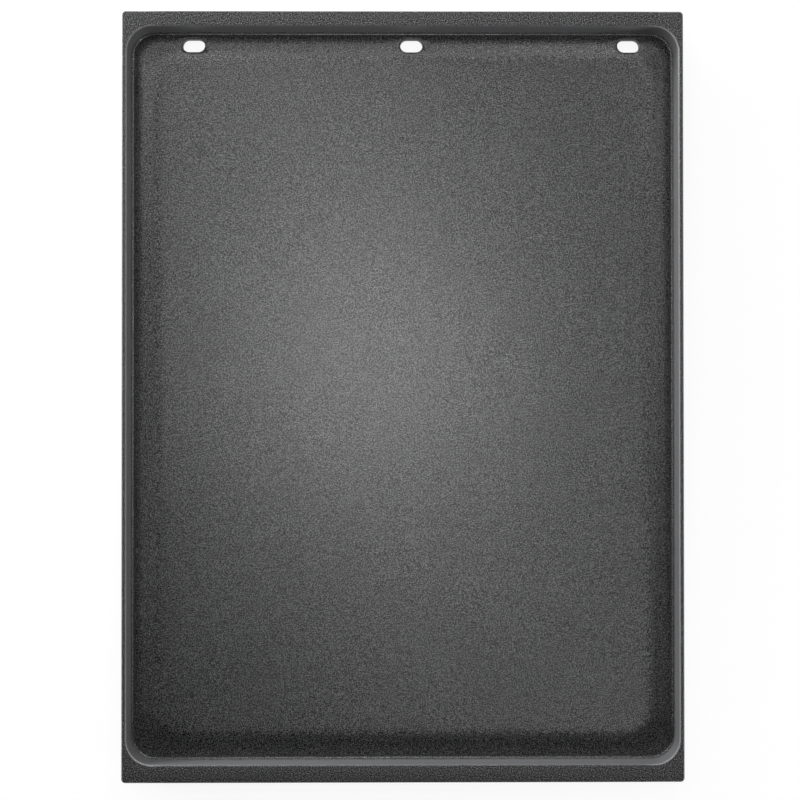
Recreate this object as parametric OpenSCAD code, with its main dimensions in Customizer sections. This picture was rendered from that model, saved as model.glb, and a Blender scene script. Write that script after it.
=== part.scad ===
// Cast griddle plate: one shallow rimmed tray of black enamelled iron.
// A flat cooking pad falls away all round into a grease gutter, and the gutter
// drains through slots at the far end. The end flanges overhang as ledges.
// Millimetres. +Z is up, +Y points to the far end with the slots, +X is right.
// The origin is under the middle of the plate, on the surface that it stands on.

/* [Plate] */
// Width over the side rims
plate_w = 350; // [300:1:420]
// Length over the end flanges
plate_l = 480; // [400:1:560]
// Height from the underside to the top of the rim
plate_h = 20; // [17:0.5:28]
// Radius of the outer corners, seen from above
outer_corner_r = 2.5; // [1.5:0.1:5]

/* [Rim] */
// Width of a side rim along its top
side_rim_w = 3; // [2.3:0.1:6]
// Width of the far flange along its top
far_flange_w = 9.3; // [7.5:0.1:14]
// Width of the near flange along its top
near_flange_w = 11.1; // [7.5:0.1:16]
// Thickness of the flanges
flange_t = 5; // [3.5:0.5:8]
// Rounding of the rim's edges
edge_r = 1; // [0.5:0.1:1.1]

/* [Pan] */
// Overhang of the end flanges beyond the pan
ledge_w = 4.5; // [2:0.5:5]
// Step from the side rims in to the pan
side_step = 0.8; // [0.4:0.1:1.2]
// Corner radius of the pan, seen from above
pan_corner_r = 14; // [8:0.5:18]
// Draft of the pan's outer faces, in degrees
pan_draft = 3; // [1:0.5:5]
// Rounding of the pan's lower edge
pan_edge_r = 2.5; // [1:0.5:3]

/* [Cavity] */
// Corner radius of the cavity at the rim, seen from above
cavity_corner_r = 16; // [13:0.5:24]
// Draft of the inner walls, in degrees
wall_draft = 6.5; // [4:0.5:14]
// Radius of the curve at the foot of the inner walls
foot_r = 2.5; // [1.5:0.5:6]

/* [Cooking pad] */
// Height of the pad above the underside
pad_z = 8; // [7.5:0.25:10]
// Corner radius of the flat pad, seen from above
pad_corner_r = 12; // [6:0.5:20]
// Width of the gutter, from the cavity's edge at the rim to the flat pad
gutter_w = 21.4; // [20:0.1:25]
// Width of the rounded shoulder where the pad turns down into the gutter
shoulder_w = 9; // [5:0.5:12]
// Fall of the gutter towards the walls, in degrees
gutter_fall = 11; // [7:0.5:11.5]

/* [Drain slots] */
// Number of slots
slot_count = 3; // [1:1:4]
// Length of a slot
slot_l = 14; // [11:0.5:22]
// Width of a slot
slot_w = 8.4; // [6:0.2:9]
// Distance from one slot to the next
slot_pitch = 137; // [60:1:140]
// Shift of the row of slots to the right of the plate's middle
slot_shift = 5.5; // [0:0.5:8]
// Distance from the cavity's edge at the far rim to the middle of the slots
slot_inset = 9.7; // [9.5:0.1:11.5]
// Width by which a slot's mouth flares out
mouth_flare = 1; // [0.5:0.1:1.2]

/* [Underside] */
// Depth of the recess under the pad
recess_d = 3; // [2:0.25:3.5]
// Width of the sloping edge of the recess
recess_run = 6; // [3:0.5:7]
// Number of stiffening ribs across the recess
rib_count = 2; // [1:1:4]
// Distance from one cross rib to the next
rib_pitch = 140; // [60:1:140]
// Width of a rib where it meets the plate
rib_w = 8; // [5:0.5:12]
// Width of a rib along its lower face
rib_foot_w = 5; // [3:0.5:8]

/* [Hidden] */
$fn = 96;

// Room by which a cutting shape runs past the face that it cuts
past = 2;
// Factor by which the circle of a rounding laps the sides that it joins, so that they clearly cross
arc_lap = 1.01;
// The same for the shoulder, which turns through a much smaller angle
shoulder_lap = 1.0004;

// The cavity's plan at the rim
cavity_w = plate_w - 2 * side_rim_w;
cavity_l = plate_l - far_flange_w - near_flange_w;
cavity_y = (near_flange_w - far_flange_w) / 2;

// The flat pad's plan, and the shoulder that turns down from it
pad_w = cavity_w - 2 * gutter_w;
pad_l = cavity_l - 2 * gutter_w;
shoulder_r = shoulder_w / sin(gutter_fall);

// Height of the cooking surface at a distance out from the flat pad's edge
function surface_z(out) = out < shoulder_w
    ? pad_z - shoulder_r + sqrt(pow(shoulder_r, 2) - pow(out, 2))
    : pad_z - shoulder_r * (1 - cos(gutter_fall)) - (out - shoulder_w) * tan(gutter_fall);

// Distance from the flat pad's edge to the cavity's edge in a corner, on the diagonal
corner_reach = (pad_corner_r + gutter_w - cavity_corner_r) * sqrt(2) + cavity_corner_r - pad_corner_r;
// Lowest level that the gutter can fall to, and the level where the wall's foot curve starts
gutter_low_z = surface_z(corner_reach);

// The pan's plan where it meets the flanges
pan_w = plate_w - 2 * side_step;
pan_l = plate_l - 2 * ledge_w;

// The row of slots
slot_y = cavity_y + cavity_l / 2 - slot_inset;
slot_z = surface_z(gutter_w - slot_inset);

// Distance from a corner to where a rounding meets its sides, on a corner of 90 degrees plus a draft
function rounding_reach(r, draft) = r / tan((90 + draft) / 2);

// Sweeps an edge profile round a rounded rectangle and fills its middle from z0 to z1.
// The profile has its distance from the corner's axis along X and its height along Y.
module rounded_block(w, l, r, z0, z1) {
    for (x = [-1, 1], y = [-1, 1])
        translate([x * (w / 2 - r), y * (l / 2 - r)])
            rotate(atan2(y, x) - 45)
                rotate_extrude(angle = 90)
                    children();
    for (x = [0, 180])
        rotate(x)
            translate([w / 2 - r, 0])
                rotate([90, 0, 0])
                    linear_extrude(l - 2 * r, center = true)
                        children();
    for (y = [90, 270])
        rotate(y)
            translate([l / 2 - r, 0])
                rotate([90, 0, 0])
                    linear_extrude(w - 2 * r, center = true)
                        children();
    translate([r - w / 2, r - l / 2, z0])
        cube([w - 2 * r, l - 2 * r, z1 - z0]);
}

// What a rounding of radius r takes off the corner at [x, y]. One side of the corner runs level
// towards in_x, the other runs towards in_y and leans out by the draft.
module corner_off(x, y, r, draft, in_x, in_y) {
    reach = rounding_reach(r, draft);
    level_x = x + in_x * reach;
    upright_x = x - in_x * reach * sin(draft);
    upright_y = y + in_y * reach * cos(draft);
    difference() {
        polygon([
            [level_x, y + in_y * r],
            [level_x, y - in_y * past],
            [x - in_x * past, y - in_y * past],
            [upright_x - in_x * past, upright_y],
            [upright_x, upright_y]
        ]);
        translate([level_x, y + in_y * r])
            circle(r * arc_lap);
    }
}

// Edge profile of the flange slab, rounded at its upper and lower edges
module flange_profile() {
    low = plate_h - flange_t;
    difference() {
        translate([0, low])
            square([outer_corner_r, flange_t]);
        corner_off(outer_corner_r, plate_h, edge_r, 0, -1, -1);
        corner_off(outer_corner_r, low, edge_r, 0, -1, 1);
    }
}

// Edge profile of the pan below the flanges, leaning in to a rounded lower edge
module pan_profile() {
    top = plate_h - flange_t / 2;
    foot = pan_corner_r - top * tan(pan_draft);
    difference() {
        polygon([[0, 0], [foot, 0], [pan_corner_r, top], [0, top]]);
        corner_off(foot, 0, pan_edge_r, pan_draft, -1, 1);
    }
}

// Edge profile of the cavity's walls, from the curve at their foot to the rounded edge of the rim
module wall_profile() {
    foot = cavity_corner_r - (plate_h - gutter_low_z) * tan(wall_draft);
    difference() {
        polygon([
            [0, gutter_low_z],
            [foot, gutter_low_z],
            [cavity_corner_r, plate_h],
            [cavity_corner_r, plate_h + past],
            [0, plate_h + past]
        ]);
        corner_off(foot, gutter_low_z, foot_r, wall_draft, -1, 1);
    }
    corner_off(cavity_corner_r, plate_h, edge_r, wall_draft, 1, -1);
}

// What the rounded shoulder takes off the ridge between the flat pad and the falling gutter
module ridge_off() {
    reach = shoulder_r + past;
    translate([pad_corner_r, pad_z - shoulder_r])
        difference() {
            polygon([
                [0, 0],
                [0, reach],
                [reach * tan(gutter_fall / 2), reach],
                [reach * sin(gutter_fall), reach * cos(gutter_fall)]
            ]);
            circle(shoulder_r * shoulder_lap);
        }
}

// Edge profile of the floor: flat pad, rounded shoulder and falling gutter, run on past the walls
module floor_profile() {
    end = corner_reach + past;
    ridge = shoulder_r * tan(gutter_fall / 2);
    difference() {
        polygon([
            [0, -past],
            [pad_corner_r + end, -past],
            [pad_corner_r + end, surface_z(end)],
            [pad_corner_r + ridge, pad_z],
            [0, pad_z]
        ]);
        ridge_off();
    }
}

// Everything inside the rim and above the cooking surface
module cavity() {
    translate([0, cavity_y])
        difference() {
            rounded_block(cavity_w, cavity_l, cavity_corner_r, gutter_low_z, plate_h + past)
                wall_profile();
            rounded_block(pad_w, pad_l, pad_corner_r, -past, pad_z)
                floor_profile();
        }
}

// A round-ended slot along X whose half profile is drawn as distance from its middle line and height
module round_ended(length, width) {
    straight = length - width;
    for (side = [-1, 1])
        translate([side * straight / 2, 0])
            rotate(side * -90)
                rotate_extrude(angle = 180)
                    children();
    rotate([90, 0, 90])
        linear_extrude(straight, center = true) {
            children();
            mirror([1, 0])
                children();
        }
}

// Half profile of a slot's mouth, which flares out at 45 degrees to the cooking surface
module mouth_profile() {
    edge = slot_w / 2 + mouth_flare;
    low = mouth_flare + past / 2;
    high = past / 2;
    polygon([[0, -low], [edge - low, -low], [edge + high, high], [0, high]]);
}

// One drain slot: upright through the casting, with a mouth square to the falling gutter
module drain_slot() {
    translate([0, 0, -past])
        round_ended(slot_l, slot_w)
            square([slot_w / 2, slot_z + 2 * past]);
    translate([0, 0, slot_z])
        rotate([-gutter_fall, 0, 0])
            round_ended(slot_l, slot_w)
                mouth_profile();
}

// The row of drain slots along the far gutter
module drain_slots() {
    for (i = [0 : slot_count - 1])
        translate([slot_shift + (i - (slot_count - 1) / 2) * slot_pitch, slot_y])
            drain_slot();
}

// The shallow recess under the pad that keeps the casting at an even thickness
module recess() {
    foot = pad_corner_r + recess_run;
    translate([0, cavity_y])
        rounded_block(pad_w, pad_l, pad_corner_r, -past, recess_d)
            polygon([
                [0, -past],
                [foot, -past],
                [foot, 0],
                [pad_corner_r, recess_d],
                [0, recess_d]
            ]);
}

// One stiffening rib along X, tapering to its lower face
module rib(length) {
    rotate([90, 0, 90])
        linear_extrude(length, center = true)
            polygon([
                [-rib_foot_w / 2, 0],
                [rib_foot_w / 2, 0],
                [rib_w / 2, recess_d],
                [rib_w / 2, recess_d + past / 2],
                [-rib_w / 2, recess_d + past / 2],
                [-rib_w / 2, recess_d]
            ]);
}

// Ribs across the recess and one along it, ending in the solid ring round it
module ribs() {
    translate([0, cavity_y]) {
        for (i = [0 : rib_count - 1])
            translate([0, (i - (rib_count - 1) / 2) * rib_pitch])
                rib(pad_w + 2 * (recess_run + past));
        rotate(90)
            rib(pad_l + 2 * (recess_run + past));
    }
}

// The whole casting
module griddle_plate() {
    color([0.16, 0.16, 0.165]) {
        difference() {
            union() {
                rounded_block(plate_w, plate_l, outer_corner_r, plate_h - flange_t, plate_h)
                    flange_profile();
                rounded_block(pan_w, pan_l, pan_corner_r, 0, plate_h - flange_t / 2)
                    pan_profile();
            }
            cavity();
            recess();
            drain_slots();
        }
        ribs();
    }
}

griddle_plate();
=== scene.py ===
import math

import bpy
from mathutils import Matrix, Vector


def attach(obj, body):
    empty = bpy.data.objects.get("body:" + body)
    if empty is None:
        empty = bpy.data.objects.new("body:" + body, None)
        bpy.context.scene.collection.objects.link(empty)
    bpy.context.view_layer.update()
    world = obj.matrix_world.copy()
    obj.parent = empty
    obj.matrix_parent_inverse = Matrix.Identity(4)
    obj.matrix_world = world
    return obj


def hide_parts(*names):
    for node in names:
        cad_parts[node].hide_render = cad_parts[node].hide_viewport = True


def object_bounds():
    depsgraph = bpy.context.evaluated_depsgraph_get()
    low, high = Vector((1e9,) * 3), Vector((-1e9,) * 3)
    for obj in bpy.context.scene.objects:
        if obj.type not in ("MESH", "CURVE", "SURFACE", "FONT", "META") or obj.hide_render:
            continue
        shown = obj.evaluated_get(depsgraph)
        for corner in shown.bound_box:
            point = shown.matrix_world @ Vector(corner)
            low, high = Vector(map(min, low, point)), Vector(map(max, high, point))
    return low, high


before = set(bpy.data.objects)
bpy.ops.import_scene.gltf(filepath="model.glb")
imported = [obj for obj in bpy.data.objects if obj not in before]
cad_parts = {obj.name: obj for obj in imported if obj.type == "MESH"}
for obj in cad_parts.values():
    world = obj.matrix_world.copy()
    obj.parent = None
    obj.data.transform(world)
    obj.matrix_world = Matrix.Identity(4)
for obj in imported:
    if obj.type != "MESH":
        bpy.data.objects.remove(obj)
cad_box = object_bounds()
cad_low, cad_high = cad_box

# The casting's sizes in metres and its angles in radians. Its box is the frame's, and the other sizes are
# those of the solids, but for the wall draft, which follows the photograph.
CASTING_SIZES = {
    "Width": cad_high[0] - cad_low[0],
    "Length": cad_high[1] - cad_low[1],
    "Height": cad_high[2] - cad_low[2],
    "Outer corner": 0.0025,
    "Side rim": 0.003,
    "Far flange": 0.0093,
    "Near flange": 0.0111,
    "Flange thickness": 0.005,
    "Edge rounding": 0.001,
    "Ledge": 0.0045,
    "Side step": 0.0008,
    "Pan corner": 0.014,
    "Pan draft": math.radians(3.0),
    "Pan edge rounding": 0.0025,
    "Cavity corner": 0.016,
    "Wall draft": math.radians(3.0),
    "Foot rounding": 0.0025,
    "Pad height": 0.008,
    "Pad corner": 0.012,
    "Gutter": 0.0214,
    "Shoulder": 0.009,
    "Gutter fall": math.radians(11.0),
    "Slot length": 0.014,
    "Slot width": 0.0084,
    "Slot pitch": 0.137,
    "Slot shift": 0.0055,
    "Slot inset": 0.0097,
    "Recess depth": 0.003,
    "Recess run": 0.006,
    "Rib pitch": 0.140,
    "Rib width": 0.008,
    "Rib foot": 0.005,
}
# Finer sizes of the visual casting alone. The still rim is the top of the walls, which doesn't follow the
# floor up and down, and the waviness is what the mould leaves on the floor.
FINE_SIZES = {
    "Ledge root rounding": 0.0005,
    "Mouth rounding": 0.0012,
    "Still rim": 0.002,
    "Waviness": 0.00012,
}
# How many there are of each feature and of the steps in the mesh
CASTING_COUNTS = {
    "Slots": 3,
    "Cross ribs": 2,
    "Corner steps": 14,
    "Side steps": 48,
    "Slot side steps": 4,
    "Rounding steps": 8,
}

# Distances between rings of the casting's mesh, and the share of the gutter that has the wider ones
PAD_PITCH = 0.009
GUTTER_PITCH = 0.0015
FOOT_PITCH = 0.0005
RIM_PITCH = 0.0015
PAN_PITCH = 0.003
RECESS_PITCH = 0.02
WIDE_RINGS_SHARE = 0.6

# Where the floor ends before the walls, as a share of the rounding at their foot
FOOT_START_SHARE = 0.9

# Waves on the floor: their number to the metre, layers of finer ones and how strong those are
WAVES = (14.0, 1.0, 0.4)

# The plugs that cut the slots: a brim wider than the slot by this share of the mouth's rounding, which
# starts a hair above the gutter, and how far the plug reaches above and below the gutter. The pitch is
# longer than a plug, so that no rings come between its corners.
BRIM_SHARE = 1.4
BRIM_LIFT = 0.00003
PLUG_TOP = 0.0012
PLUG_BOTTOM = -0.015
PLUG_PITCH = 1.0

# The ribs sink into the plate above the recess and into the ring round it
RIB_HEIGHT_SHARE = 1.3
RIB_OVERLAP = 0.002

# Marks in the casting's section: whether the floor's level moves a corner
INSIDE = 1.0
OUTSIDE = 0.0

MERGE_DISTANCE = 2e-6
SHARP_ANGLE = math.radians(38.0)
QUARTER_TURN = math.pi / 2


class Flow:
    """A value on its way between nodes, which can be reckoned with like a number."""

    def __init__(self, wires, socket):
        self.wires = wires
        self.socket = socket

    def __add__(self, other):
        return self.wires.math("ADD", self, other)

    def __sub__(self, other):
        return self.wires.math("SUBTRACT", self, other)

    def __rsub__(self, other):
        return self.wires.math("SUBTRACT", other, self)

    def __mul__(self, other):
        return self.wires.math("MULTIPLY", self, other)

    def __truediv__(self, other):
        return self.wires.math("DIVIDE", self, other)


class Wires:
    """Fills one node tree: makes nodes and feeds them plain values or other nodes' outputs."""

    def __init__(self, tree):
        self.tree = tree

    def feed(self, socket, value):
        """Gives an input socket a flow or a plain value."""
        if isinstance(value, Flow):
            self.tree.links.new(value.socket, socket)
        else:
            socket.default_value = value

    def node(self, kind, inputs=None, **settings):
        """A new node with its settings and inputs."""
        made = self.tree.nodes.new(kind)
        for name, value in settings.items():
            setattr(made, name, value)
        for name, value in (inputs or {}).items():
            self.feed(made.inputs[name], value)
        return made

    def out(self, kind, inputs=None, output=0, **settings):
        """One output of a new node."""
        return Flow(self, self.node(kind, inputs, **settings).outputs[output])

    def math(self, operation, *values):
        return self.out("ShaderNodeMath", dict(enumerate(values)), operation=operation)

    def ranged(self, value, start, end, low=0.0, high=1.0, **settings):
        """Goes from low to high while the value goes from start to end, and stays there."""
        inputs = {"Value": value, "From Min": start, "From Max": end, "To Min": low, "To Max": high}
        return self.out("ShaderNodeMapRange", inputs, **settings)

    def noise(self, place, scale, detail, roughness):
        inputs = {"Vector": place, "Scale": scale, "Detail": detail, "Roughness": roughness}
        return self.out("ShaderNodeTexNoise", inputs, noise_dimensions="3D")

    def vector(self, x, y, z):
        return self.out("ShaderNodeCombineXYZ", {"X": x, "Y": y, "Z": z})

    def split(self, vector):
        made = self.node("ShaderNodeSeparateXYZ", {"Vector": vector})
        return [Flow(self, made.outputs[axis]) for axis in "XYZ"]

    def here(self):
        """The place of each point."""
        return self.out("GeometryNodeInputPosition")

    def moved(self, geometry, place):
        return self.out("GeometryNodeSetPosition", {"Geometry": geometry, "Position": place})

    def merged(self, geometry):
        inputs = {"Geometry": geometry, "Distance": MERGE_DISTANCE}
        return self.out("GeometryNodeMergeByDistance", inputs)

    def realized(self, geometry):
        return self.out("GeometryNodeRealizeInstances", {"Geometry": geometry})

    def attribute(self, name):
        return self.out("GeometryNodeInputNamedAttribute", {"Name": name}, data_type="FLOAT")

    def keep(self, geometry, name, value):
        """Stores a value on each point of the geometry under a name."""
        inputs = {"Geometry": geometry, "Name": name, "Value": value}
        kind = "GeometryNodeStoreNamedAttribute"
        return self.out(kind, inputs, data_type="FLOAT", domain="POINT")


def new_tree(name, inputs):
    """A geometry tree with named inputs, its wires, its inputs as flows and its output socket."""
    tree = bpy.data.node_groups.new(name, "GeometryNodeTree")
    for label, kind in inputs.items():
        tree.interface.new_socket(label, in_out="INPUT", socket_type=kind)
    tree.interface.new_socket("Geometry", in_out="OUTPUT", socket_type="NodeSocketGeometry")
    wires = Wires(tree)
    entry = wires.node("NodeGroupInput")
    leave = wires.node("NodeGroupOutput")
    flows = {label: Flow(wires, entry.outputs[label]) for label in inputs}
    return tree, wires, flows, leave.inputs["Geometry"]


def by_index(wires, values):
    """One value for each point of a line, in the order of its points."""
    switch = wires.node("GeometryNodeIndexSwitch", data_type="FLOAT")
    while len(switch.index_switch_items) < len(values):
        switch.index_switch_items.new()
    wires.feed(switch.inputs[0], wires.out("GeometryNodeInputIndex"))
    for socket, value in zip(switch.inputs[1:], values):
        wires.feed(socket, value)
    return Flow(wires, switch.outputs[0])


def section_curve(wires, corners, rounding_steps):
    """A section through the wall of a round-cornered form, drawn as a line with rounded corners.

    Each corner of the line has its reach from the middle, its height, its rounding, the axis on which
    the form turns there as (x, far y, near y), the distance between the rings after it, and its mark.
    """
    reach, height, rounding, axis, pitch, inside = zip(*corners)
    axis_x, axis_far, axis_near = zip(*axis)
    line = wires.out("GeometryNodeMeshLine", {"Count": len(corners)})
    curve = wires.out("GeometryNodeMeshToCurve", {"Mesh": line})
    curve = wires.moved(curve, wires.vector(by_index(wires, reach), 0.0, by_index(wires, height)))
    kept = {
        "axis_x": axis_x,
        "axis_far": axis_far,
        "axis_near": axis_near,
        "pitch": pitch,
        "inside": inside,
    }
    for name, values in kept.items():
        curve = wires.keep(curve, name, by_index(wires, values))
    inputs = {
        "Curve": curve,
        "Count": rounding_steps,
        "Radius": by_index(wires, rounding),
        "Limit Radius": True,
    }
    curve = wires.out("GeometryNodeFilletCurve", inputs, mode="POLY")
    here = wires.here()
    following = wires.out(
        "GeometryNodeFieldAtIndex",
        {"Index": wires.out("GeometryNodeInputIndex") + 1.0, "Value": here},
        data_type="FLOAT_VECTOR",
    )
    gap = wires.out(
        "ShaderNodeVectorMath", {0: here, 1: following}, output="Value", operation="DISTANCE"
    )
    cuts = wires.math("FLOOR", gap / wires.attribute("pitch"))
    return wires.out("GeometryNodeSubdivideCurve", {"Curve": curve, "Cuts": cuts})


def build_ring_tree():
    """The tree that leads a section round a rectangle with round corners and closes it into a shell."""
    inputs = {
        "Section": "NodeSocketGeometry",
        "Corner steps": "NodeSocketInt",
        "Side steps": "NodeSocketInt",
    }
    tree, wires, given, leave = new_tree("round_cornered_form", inputs)
    section = given["Section"]
    corner_steps, side_steps = given["Corner steps"], given["Side steps"]
    quarter_steps = corner_steps + side_steps
    around = quarter_steps * 4.0
    stations = wires.out("GeometryNodeAttributeDomainSize", {"Geometry": section}, component="CURVE")
    last = stations - 1.0
    sizes = {"Size X": around, "Size Y": last, "Vertices X": around + 1.0, "Vertices Y": stations}
    grid = wires.out("GeometryNodeMeshGrid", sizes)
    grid_x, grid_y, _ = wires.split(wires.here())
    step = wires.math("ROUND", grid_x + around / 2.0)
    station = wires.math("ROUND", grid_y + last / 2.0)

    def at_station(value, kind="FLOAT"):
        wanted = {"Geometry": section, "Value": value, "Index": station}
        return wires.out("GeometryNodeSampleIndex", wanted, data_type=kind, domain="POINT")

    reach, _, height = wires.split(at_station(wires.here(), "FLOAT_VECTOR"))
    axis_x, axis_far, axis_near, inside = (
        at_station(wires.attribute(name)) for name in ("axis_x", "axis_far", "axis_near", "inside")
    )
    quarter = wires.math("FLOOR", step / quarter_steps)
    into = step - quarter * quarter_steps
    turn = wires.math("MINIMUM", into / corner_steps, 1.0)
    along = wires.math("MAXIMUM", into - corner_steps, 0.0) / side_steps
    angle = (quarter + turn) * QUARTER_TURN

    def corner_sign(operation):
        """Which side of the middle a point is on: -1 to 1, sliding along the straight sides."""
        start, end = (
            wires.math("SIGN", wires.math(operation, (quarter + quarters) * QUARTER_TURN))
            for quarters in (0.5, 1.5)
        )
        return start + (end - start) * along

    radius = wires.math("MAXIMUM", reach - axis_x, 0.0)
    shrink = wires.math("MAXIMUM", axis_x - reach, 0.0)
    half_y = wires.math("MAXIMUM", (axis_far + axis_near) / 2.0 - shrink, 0.0)
    middle_y = (axis_far - axis_near) / 2.0
    x = corner_sign("COSINE") * (axis_x - shrink) + radius * wires.math("COSINE", angle)
    y = corner_sign("SINE") * half_y + middle_y + radius * wires.math("SINE", angle)
    shell = wires.keep(grid, "inside", inside)
    shell = wires.merged(wires.moved(shell, wires.vector(x, y, height)))
    wires.feed(leave, wires.out("GeometryNodeFlipFaces", {"Mesh": shell}))
    return tree


def swept(wires, ring_tree, section, corner_steps, side_steps):
    """The closed shell that a section makes on its way round."""
    inputs = {"Section": section, "Corner steps": corner_steps, "Side steps": side_steps}
    return wires.out("GeometryNodeGroup", inputs, node_tree=ring_tree)


def in_row(wires, piece, count, first, step):
    """Copies of a piece in a row, from the place of the first one and the step to the next."""
    line = {"Count": count, "Start Location": first, "Offset": step}
    places = wires.out("GeometryNodeMeshLine", line)
    row = wires.out("GeometryNodeInstanceOnPoints", {"Points": places, "Instance": piece})
    return wires.realized(row)


def row_start(middle, count, pitch):
    """Where a row starts that lies evenly about its middle."""
    return middle - (count - 1.0) / 2.0 * pitch


def corner_axes(size):
    """Where the corners of the pad, cavity, flange and pan turn: (x, far y, near y) from the middle."""
    half_w, half_l = size["Width"] / 2.0, size["Length"] / 2.0

    def axis(side, far, near, corner):
        return (half_w - side - corner, half_l - far - corner, half_l - near - corner)

    gutter = size["Gutter"]
    side, far, near = size["Side rim"], size["Far flange"], size["Near flange"]
    return {
        "pad": axis(side + gutter, far + gutter, near + gutter, size["Pad corner"]),
        "cavity": axis(side, far, near, size["Cavity corner"]),
        "flange": axis(0.0, 0.0, 0.0, size["Outer corner"]),
        "pan": axis(size["Side step"], size["Ledge"], size["Ledge"], size["Pan corner"]),
    }


def gutter_height(wires, size, out):
    """Height of the cooking surface at a distance out from the flat pad: rounded shoulder, then fall."""
    radius = size["Shoulder"] / wires.math("SINE", size["Gutter fall"])
    rounded = wires.math("MINIMUM", out, size["Shoulder"])
    curved = radius - wires.math("SQRT", radius * radius - rounded * rounded)
    straight = (out - rounded) * wires.math("TANGENT", size["Gutter fall"])
    return size["Pad height"] - (curved + straight)


def foot_height(wires, size):
    """Height of the gutter at the foot of the straight walls."""
    return gutter_height(wires, size, size["Gutter"])


def floor_height(wires, size, axis, x, y):
    """Height of the cooking surface at a place on the plate."""
    past_x = wires.math("ABSOLUTE", x) - axis[0]
    past_y = wires.math("ABSOLUTE", y - (axis[1] - axis[2]) / 2.0) - (axis[1] + axis[2]) / 2.0
    out_x = wires.math("MAXIMUM", past_x, 0.0)
    out_y = wires.math("MAXIMUM", past_y, 0.0)
    corner = wires.math("SQRT", out_x * out_x + out_y * out_y)
    inner = wires.math("MINIMUM", wires.math("MAXIMUM", past_x, past_y), 0.0)
    out = wires.math("MAXIMUM", corner + inner - size["Pad corner"], 0.0)
    return gutter_height(wires, size, out)


def casting_section(wires, size, axes):
    """The corners of the plate's section, from the middle of the pad over the rim to the underside."""
    half_w, height = size["Width"] / 2.0, size["Height"]
    cavity_x = half_w - size["Side rim"]
    pad_x = cavity_x - size["Gutter"]
    fine_x = pad_x + size["Gutter"] * WIDE_RINGS_SHARE
    foot_z = foot_height(wires, size)
    foot_x = cavity_x - (height - foot_z) * wires.math("TANGENT", size["Wall draft"])
    foot = size["Foot rounding"]
    pan_lean = wires.math("TANGENT", size["Pan draft"])
    pan_x = half_w - size["Side step"]
    root_x = pan_x - pan_lean * size["Flange thickness"]
    ledge_z = height - size["Flange thickness"]
    edge = size["Edge rounding"]
    root, pan_edge = size["Ledge root rounding"], size["Pan edge rounding"]
    recess_z = size["Recess depth"]
    pad, cavity, flange, pan = axes["pad"], axes["cavity"], axes["flange"], axes["pan"]
    return [
        (0.0, foot_z, 0.0, pad, PAD_PITCH, INSIDE),
        (pad[0], foot_z, 0.0, pad, GUTTER_PITCH, INSIDE),
        (fine_x, foot_z, 0.0, pad, FOOT_PITCH, INSIDE),
        (foot_x - foot * FOOT_START_SHARE, foot_z, 0.0, cavity, FOOT_PITCH, INSIDE),
        (foot_x, foot_z, foot, cavity, RIM_PITCH, INSIDE),
        (cavity_x, height, edge, cavity, RIM_PITCH, INSIDE),
        (half_w, height, edge, flange, RIM_PITCH, OUTSIDE),
        (half_w, ledge_z, edge, flange, RIM_PITCH, OUTSIDE),
        (root_x, ledge_z, root, pan, PAN_PITCH, OUTSIDE),
        (pan_x - pan_lean * height, 0.0, pan_edge, pan, PAN_PITCH, OUTSIDE),
        (pad_x + size["Recess run"], 0.0, edge, pad, PAN_PITCH, OUTSIDE),
        (pad_x, recess_z, edge, pad, PAN_PITCH, OUTSIDE),
        (pad[0], recess_z, 0.0, pad, RECESS_PITCH, OUTSIDE),
        (0.0, recess_z, 0.0, pad, RECESS_PITCH, OUTSIDE),
    ]


def lay_floor(wires, size, axis, shell):
    """Brings the level inside of the shell to the cooking surface, with a faint waviness.

    The rounded foot of the walls goes up and down with the floor, and the top of the walls stays.
    """
    x, y, z = wires.split(wires.here())
    wave = wires.noise(wires.vector(x, y, 0.0), *WAVES) - 0.5
    foot_z = foot_height(wires, size)
    floor_z = floor_height(wires, size, axis, x, y) + wave * size["Waviness"]
    wall_top = size["Height"] - size["Still rim"]
    share = wires.ranged(z, wall_top, foot_z + size["Foot rounding"])
    level = z + (floor_z - foot_z) * share * wires.attribute("inside")
    return wires.moved(shell, wires.vector(x, y, level))


def slot_plugs(wires, size, ring_tree):
    """A row of round-ended plugs with a trumpet mouth that follows the gutter's fall."""
    axis_x = (size["Slot length"] - size["Slot width"]) / 2.0
    axis = (axis_x, 0.0, 0.0)
    mouth = size["Mouth rounding"]
    side = axis_x + size["Slot width"] / 2.0
    brim = side + mouth * BRIM_SHARE
    corners = [
        (axis_x, PLUG_TOP, 0.0, axis, PLUG_PITCH, OUTSIDE),
        (brim, PLUG_TOP, 0.0, axis, PLUG_PITCH, OUTSIDE),
        (brim, BRIM_LIFT, 0.0, axis, PLUG_PITCH, OUTSIDE),
        (side, BRIM_LIFT, mouth, axis, PLUG_PITCH, OUTSIDE),
        (side, PLUG_BOTTOM, 0.0, axis, PLUG_PITCH, OUTSIDE),
        (axis_x, PLUG_BOTTOM, 0.0, axis, PLUG_PITCH, OUTSIDE),
    ]
    section = section_curve(wires, corners, size["Rounding steps"])
    plug = swept(wires, ring_tree, section, size["Corner steps"], size["Slot side steps"])
    x, y, z = wires.split(wires.here())
    fall = y * wires.math("TANGENT", size["Gutter fall"])
    plug = wires.moved(plug, wires.vector(x, y, z - fall))
    count, pitch, inset = size["Slots"], size["Slot pitch"], size["Slot inset"]
    row_x = row_start(size["Slot shift"], count, pitch)
    row_y = size["Length"] / 2.0 - size["Far flange"] - inset
    row_z = gutter_height(wires, size, size["Gutter"] - inset)
    first = wires.vector(row_x, row_y, row_z)
    return in_row(wires, plug, count, first, wires.vector(pitch, 0.0, 0.0))


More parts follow.
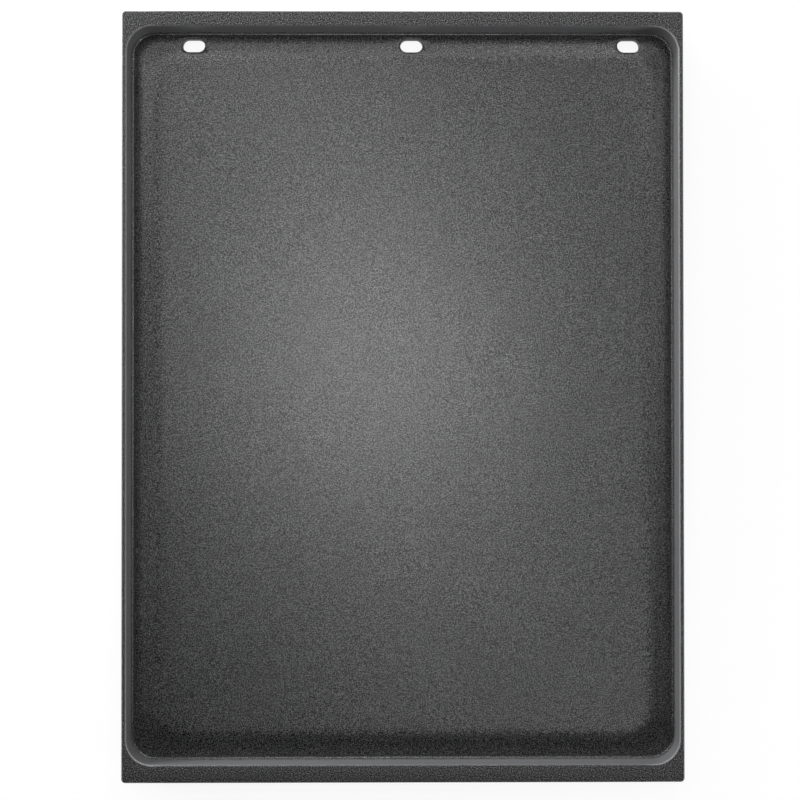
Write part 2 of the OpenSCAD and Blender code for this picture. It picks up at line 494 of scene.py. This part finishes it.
def rib_bar(wires, size, length):
    """One stiffening rib along Y, narrower at its lower face."""
    tall = size["Recess depth"] * RIB_HEIGHT_SHARE
    box = {"Size": wires.vector(size["Rib width"], length, tall)}
    bar = wires.out("GeometryNodeMeshCube", box)
    x, y, z = wires.split(wires.here())
    narrowing = size["Rib foot"] / size["Rib width"] - 1.0
    drawn = wires.math("LESS_THAN", z, 0.0) * narrowing + 1.0
    return wires.moved(bar, wires.vector(x * drawn, y, z + tall / 2.0))


def ribs(wires, size, axis):
    """The ribs under the pad: one along the recess and a row of them across it."""
    overlap = size["Recess run"] + size["Pad corner"] + RIB_OVERLAP
    middle_y = (axis[1] - axis[2]) / 2.0
    along = rib_bar(wires, size, axis[1] + axis[2] + overlap * 2.0)
    shift = {"Geometry": along, "Translation": wires.vector(0.0, middle_y, 0.0)}
    along = wires.out("GeometryNodeTransform", shift)
    across = rib_bar(wires, size, (axis[0] + overlap) * 2.0)
    turn = {"Geometry": across, "Rotation": (0.0, 0.0, QUARTER_TURN)}
    across = wires.out("GeometryNodeTransform", turn)
    count, pitch = size["Cross ribs"], size["Rib pitch"]
    first = wires.vector(0.0, row_start(middle_y, count, pitch), 0.0)
    return along, in_row(wires, across, count, first, wires.vector(0.0, pitch, 0.0))


def joined(wires, *meshes):
    """Several closed meshes as one."""
    made = wires.node("GeometryNodeMeshBoolean", operation="UNION", solver="EXACT")
    for mesh in meshes:
        wires.feed(made.inputs["Mesh 2"], mesh)
    return Flow(wires, made.outputs["Mesh"])


def cut(wires, mesh, cutters):
    """A closed mesh without what the cutters take away."""
    inputs = {"Mesh 1": mesh, "Mesh 2": cutters}
    kind = "GeometryNodeMeshBoolean"
    return wires.out(kind, inputs, output="Mesh", operation="DIFFERENCE", solver="EXACT")


def shaded(wires, mesh):
    """Smooth faces with sharp edges where the surface breaks."""
    mesh = wires.out("GeometryNodeSetShadeSmooth", {"Geometry": mesh}, domain="FACE")
    bend = wires.out("GeometryNodeInputMeshEdgeAngle")
    inputs = {"Geometry": mesh, "Shade Smooth": wires.math("LESS_THAN", bend, SHARP_ANGLE)}
    return wires.out("GeometryNodeSetShadeSmooth", inputs, domain="EDGE")


def build_casting_tree(ring_tree, material):
    """The whole plate from its named sizes: swept shell, cooking floor, ribs and drain slots."""
    inputs = {name: "NodeSocketFloat" for name in {**CASTING_SIZES, **FINE_SIZES}}
    inputs.update({name: "NodeSocketInt" for name in CASTING_COUNTS})
    tree, wires, size, leave = new_tree("griddle_casting", inputs)
    axes = corner_axes(size)
    section = section_curve(wires, casting_section(wires, size, axes), size["Rounding steps"])
    shell = swept(wires, ring_tree, section, size["Corner steps"], size["Side steps"])
    plate = lay_floor(wires, size, axes["pad"], shell)
    plate = joined(wires, plate, *ribs(wires, size, axes["pad"]))
    plate = cut(wires, plate, slot_plugs(wires, size, ring_tree))
    plate = wires.realized(shaded(wires, wires.merged(plate)))
    finish = {"Geometry": plate, "Material": material}
    wires.feed(leave, wires.out("GeometryNodeSetMaterial", finish))
    return tree


def make_plate(material):
    """Runs the casting tree on an empty mesh and keeps the result as a plain mesh."""
    tree = build_casting_tree(build_ring_tree(), material)
    plate = bpy.data.objects.new("griddle_casting", bpy.data.meshes.new("griddle_casting"))
    bpy.context.scene.collection.objects.link(plate)
    modifier = plate.modifiers.new("casting", "NODES")
    modifier.node_group = tree
    values = {**CASTING_SIZES, **FINE_SIZES, **CASTING_COUNTS}
    for item in tree.interface.items_tree:
        if item.in_out == "INPUT":
            modifier[item.identifier] = values[item.name]
    graph = bpy.context.evaluated_depsgraph_get()
    finished = bpy.data.meshes.new_from_object(plate.evaluated_get(graph))
    plate.modifiers.remove(modifier)
    plate.data = finished
    finished.name = "griddle_casting"
    return plate


# Where each finish of the enamel starts and where it is full. Heights and distances from the middle are
# in metres, and a slope is the upward share of the surface's direction: 1 on level ground, 0 on a wall.
WALL_SLOPE = (0.9, 0.3)
RIM_HEIGHT = (0.0178, 0.0188)
# The rim's top edges carry a painted highlight, full on the side rims and weaker at the ends, and are
# glossier there
HIGHLIGHT_EDGE_HEIGHT = (0.0188, 0.0193)
HIGHLIGHT_EDGE_SLOPE = (0.99, 0.93)
HIGHLIGHT_EDGE_SIDES = (0.148, 0.162)
# Inside these bounds the walls are painted lighter, as the light that falls on them
PAINTED_LIGHT_SIDES = (0.1732, 0.1722)
PAINTED_LIGHT_ENDS = (0.2335, 0.232)
HIGHLIGHT_AT_ENDS = 0.3

# Patterns in the enamel: features to the metre, layers of finer ones and how strong those are
PEBBLES = (1850.0, 0.0, 0.5)
RIM_LUMPS = (1450.0, 2.0, 0.6)
CLOUDS = (22.0, 3.0, 0.5)
CLOUD_RANGE = (0.3, 0.7)
PEBBLE_RANGE = (0.28, 0.76)
PEBBLE_SHARPNESS = 1.7
PEBBLE_MEAN = 0.34

# What the plain enamel has and what each finish adds to it. The first two make the enamel as a whole, and
# the others say how far its grain shows in the tone, in the gloss and as relief.
# The walls' lighter tone over the floor's is partly painted light, the inner walls' extra tone is painted
# light, and the rim's top edges get a painted highlight
TONE = {"plain": 0.102, "cloud": 0.026, "wall": 0.12, "painted_light_inner_wall": 0.26, "rim": -0.005, "painted_highlight_edge": 0.6}
ROUGHNESS = {"plain": 0.26, "cloud": 0.012, "wall": 0.3, "rim": 0.16, "painted_highlight_edge": -0.24}
GRAIN_TONE = {"plain": 0.42, "wall": -0.2, "rim": 0.44}
GRAIN_GLOSS = {"plain": 0.6, "wall": -0.4, "rim": 0.9}
GRAIN_RELIEF = {"plain": 1.0, "wall": -0.6, "rim": 1.2}

DARK_ENAMEL = (0.003, 0.003, 0.0032, 1.0)
PALE_ENAMEL = (0.2, 0.202, 0.208, 1.0)
ENAMEL_IOR = 1.5
LEAST_ROUGHNESS = 0.2
MEAN_GLOSS = 0.5
LEAST_GLOSS = 0.05
RELIEF_DEPTH = 0.00001

# The colour sockets of a Mix node
MIX_FIRST, MIX_SECOND, MIX_RESULT = 6, 7, 2


def enamel_finishes(wires, place):
    """Where the enamel is clouded, on a wall, on an inner wall that is painted lighter as light, on the
    rim, or on the rim's top edges that carry a painted highlight: 0 to 1.
    """
    across, along, height = wires.split(place)
    across, along = wires.math("ABSOLUTE", across), wires.math("ABSOLUTE", along)
    _, _, slope = wires.split(wires.out("ShaderNodeNewGeometry", output="Normal"))
    slope = wires.math("ABSOLUTE", slope)
    wall = wires.ranged(slope, *WALL_SLOPE)
    # Inside the cavity the walls are painted lighter, as the light that falls on them
    inner = wires.ranged(across, *PAINTED_LIGHT_SIDES) * wires.ranged(along, *PAINTED_LIGHT_ENDS)
    # The rim's top edges, where a painted highlight lightens the tone
    edge = wires.ranged(height, *HIGHLIGHT_EDGE_HEIGHT) * wires.ranged(slope, *HIGHLIGHT_EDGE_SLOPE)
    return {
        "cloud": wires.ranged(wires.noise(place, *CLOUDS), *CLOUD_RANGE),
        "wall": wall,
        "painted_light_inner_wall": wall * inner,
        "rim": wires.ranged(height, *RIM_HEIGHT) * (1.0 - wall),
        "painted_highlight_edge": edge * wires.ranged(across, *HIGHLIGHT_EDGE_SIDES, low=HIGHLIGHT_AT_ENDS),
    }


def enamel_grain(wires, place, rim):
    """Pebbles in the enamel, about 0 in the mean, and coarser lumps on the rim."""
    pebbles = wires.noise(place, *PEBBLES)
    lumps = wires.noise(place, *RIM_LUMPS)
    pattern = wires.ranged(pebbles + (lumps - pebbles) * rim, *PEBBLE_RANGE)
    return wires.math("POWER", pattern, PEBBLE_SHARPNESS) - PEBBLE_MEAN


def enamel_material():
    """Black enamel on cast iron: fine pebbles on the floor, coarser ones on the rim, smoother walls,
    painted light on the walls and a painted highlight along the rim's top edges.
    """
    material = bpy.data.materials.new("black_enamel")
    material.use_nodes = True
    wires = Wires(material.node_tree)
    shader = material.node_tree.nodes["Principled BSDF"]
    place = wires.out("ShaderNodeTexCoord", output="Object")
    finishes = enamel_finishes(wires, place)
    grain = enamel_grain(wires, place, finishes["rim"])

    def finished(weights):
        """The plain enamel's value with what each finish adds to it."""
        total = weights["plain"]
        for name, finish in finishes.items():
            if name in weights:
                total = finish * weights[name] + total
        return total

    tone = grain * finished(GRAIN_TONE) + finished(TONE)
    gloss = grain * finished(GRAIN_GLOSS) + MEAN_GLOSS
    colors = {"Factor": tone, MIX_FIRST: DARK_ENAMEL, MIX_SECOND: PALE_ENAMEL}
    relief = {
        "Height": grain * finished(GRAIN_RELIEF),
        "Strength": 1.0,
        "Distance": RELIEF_DEPTH,
    }
    finish = {
        "Base Color": wires.out("ShaderNodeMix", colors, output=MIX_RESULT, data_type="RGBA"),
        "Roughness": wires.math("MAXIMUM", finished(ROUGHNESS), LEAST_ROUGHNESS),
        "IOR": ENAMEL_IOR,
        "Specular IOR Level": wires.math("MAXIMUM", gloss, LEAST_GLOSS),
        "Normal": wires.out("ShaderNodeBump", relief),
    }
    for name, value in finish.items():
        wires.feed(shader.inputs[name], value)
    return material


WHITE = (1.0, 1.0, 1.0, 1.0)
MATT_WHITE = (0.9, 0.9, 0.9, 1.0)

# The floor's half width, its drop below the plate, and how much of its look is plain white. Near the
# plate the rest of it takes the shadow, and farther off it is all white. Distances are in metres.
FLOOR_HALF = 4.0
FLOOR_DROP = 0.0002
SHADOW_REACH = (0.45, 1.3)
WHITE_SHARE = (0.88, 1.0)

# The studio's light by its height on the sky, from 0 at the horizon to 1 overhead
SKY_HEIGHT = (0.3, 0.55)
SKY_LEVEL = (0.6, 0.04)


def floor_material():
    """White floor: seen as white, and still darkened by the plate's shadow."""
    material = bpy.data.materials.new("white_floor")
    material.use_nodes = True
    material.node_tree.nodes.clear()
    wires = Wires(material.node_tree)
    path = wires.node("ShaderNodeLightPath")
    seen = Flow(wires, path.outputs["Is Camera Ray"])
    for name in ("Is Glossy Ray", "Is Transmission Ray"):
        seen = wires.math("MAXIMUM", seen, Flow(wires, path.outputs[name]))
    x, y, _ = wires.split(wires.out("ShaderNodeTexCoord", output="Object"))
    away = wires.math("SQRT", x * x + y * y)
    white = wires.ranged(away, *SHADOW_REACH, *WHITE_SHARE)
    matt = wires.out("ShaderNodeBsdfDiffuse", {"Color": MATT_WHITE})
    glow = wires.out("ShaderNodeEmission", {"Color": WHITE, "Strength": 1.0})
    mixed = wires.out("ShaderNodeMixShader", {0: seen * white, 1: matt, 2: glow})
    wires.node("ShaderNodeOutputMaterial", {"Surface": mixed})
    return material


def make_floor():
    """A wide level floor just below the plate."""
    mesh = bpy.data.meshes.new("floor")
    signs = [(-1, -1), (1, -1), (1, 1), (-1, 1)]
    corners = [(x * FLOOR_HALF, y * FLOOR_HALF, -FLOOR_DROP) for x, y in signs]
    mesh.from_pydata(corners, [], [range(len(corners))])
    mesh.materials.append(floor_material())
    floor = bpy.data.objects.new("floor", mesh)
    bpy.context.scene.collection.objects.link(floor)


def make_world():
    """A studio that is pale round the horizon and dim overhead, and white where it is seen."""
    world = bpy.data.worlds.new("studio")
    world.use_nodes = True
    wires = Wires(world.node_tree)
    _, _, rise = wires.split(wires.out("ShaderNodeTexCoord", output="Generated"))
    glow = wires.ranged(rise, *SKY_HEIGHT, *SKY_LEVEL, interpolation_type="SMOOTHSTEP")
    seen = wires.out("ShaderNodeLightPath", output="Is Camera Ray")
    background = world.node_tree.nodes["Background"]
    wires.feed(background.inputs["Color"], WHITE)
    wires.feed(background.inputs["Strength"], wires.math("MAXIMUM", glow, seen))
    bpy.context.scene.world = world


# Lamps on a dome round the plate: the side they stand on, counted from the right and turning to the far
# end, their tilt from overhead, their width and height as seen from the plate, all in degrees, and how
# bright their face is, where 1 is white.
LAMPS = {
    "overhead": (105.0, 3.0, 9.0, 9.0, 8.5),
    "overhead_strip": (104.0, 10.0, 9.0, 42.0, 1.95),
    "overhead_wide": (25.0, 10.0, 46.0, 40.0, 1.0),
    "near_right_overhead": (308.0, 23.0, 10.0, 10.0, 1.6),
    "far_left_bank": (110.0, 33.0, 64.0, 16.0, 2.8),
    "left_bank": (172.0, 28.0, 30.0, 20.0, 1.1),
    "far_right_bank": (35.0, 33.0, 40.0, 16.0, 1.6),
    "far_low": (98.0, 79.0, 30.0, 16.0, 11.0),
    "far_left_low": (148.0, 79.0, 60.0, 16.0, 19.0),
    "right_low": (345.0, 79.0, 34.0, 16.0, 5.5),
    "near_right_low": (317.0, 78.0, 14.0, 10.0, 13.0),
}
# Lamps past this tilt are low ones. Distances from the plate are in metres.
LOW_LAMP_TILT = 60.0
LAMP_DISTANCE = 1.9
LOW_LAMP_DISTANCE = 0.8


def softbox(name, side, tilt, width, height, level):
    """A rectangular lamp on the dome, facing the plate. A low one stands nearer and isn't mirrored."""
    low = tilt > LOW_LAMP_TILT
    distance = LOW_LAMP_DISTANCE if low else LAMP_DISTANCE
    lamp = bpy.data.lights.new(name, "AREA")
    lamp.shape = "RECTANGLE"
    lamp.size = 2 * distance * math.tan(math.radians(width) / 2)
    lamp.size_y = 2 * distance * math.tan(math.radians(height) / 2)
    lamp.energy = level * lamp.size * lamp.size_y * math.pi
    holder = bpy.data.objects.new(name, lamp)
    around, down = math.radians(side), math.radians(tilt)
    holder.rotation_euler = (down, 0.0, around + QUARTER_TURN)
    holder.location = (
        distance * math.sin(down) * math.cos(around),
        distance * math.sin(down) * math.sin(around),
        distance * math.cos(down),
    )
    holder.visible_camera = False
    holder.visible_glossy = not low
    bpy.context.scene.collection.objects.link(holder)


def make_lights():
    """All lamps of the studio."""
    for name, values in LAMPS.items():
        softbox(name, *values)


# The camera's place in metres, its turns in degrees, and its lens and sensor in millimetres
CAMERA_PLACE = (-0.01295, -0.01602, 1.2185)
CAMERA_TURNS = (0.6485, -0.5278, -0.0365)
CAMERA_LENS = 86.737
CAMERA_SENSOR = 36.0


def make_camera():
    """The photograph's view, almost straight down."""
    data = bpy.data.cameras.new("camera")
    data.sensor_width = CAMERA_SENSOR
    data.lens = CAMERA_LENS
    camera = bpy.data.objects.new("camera", data)
    camera.location = CAMERA_PLACE
    camera.rotation_euler = [math.radians(turn) for turn in CAMERA_TURNS]
    bpy.context.scene.collection.objects.link(camera)
    bpy.context.scene.camera = camera


def make_object():
    """The dressed plate in place of its solid."""
    plate = make_plate(enamel_material())
    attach(plate, "root")
    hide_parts("griddle_plate")


make_camera()
make_object()
make_floor()
make_world()
make_lights()
bpy.context.scene.view_settings.view_transform = "Standard"
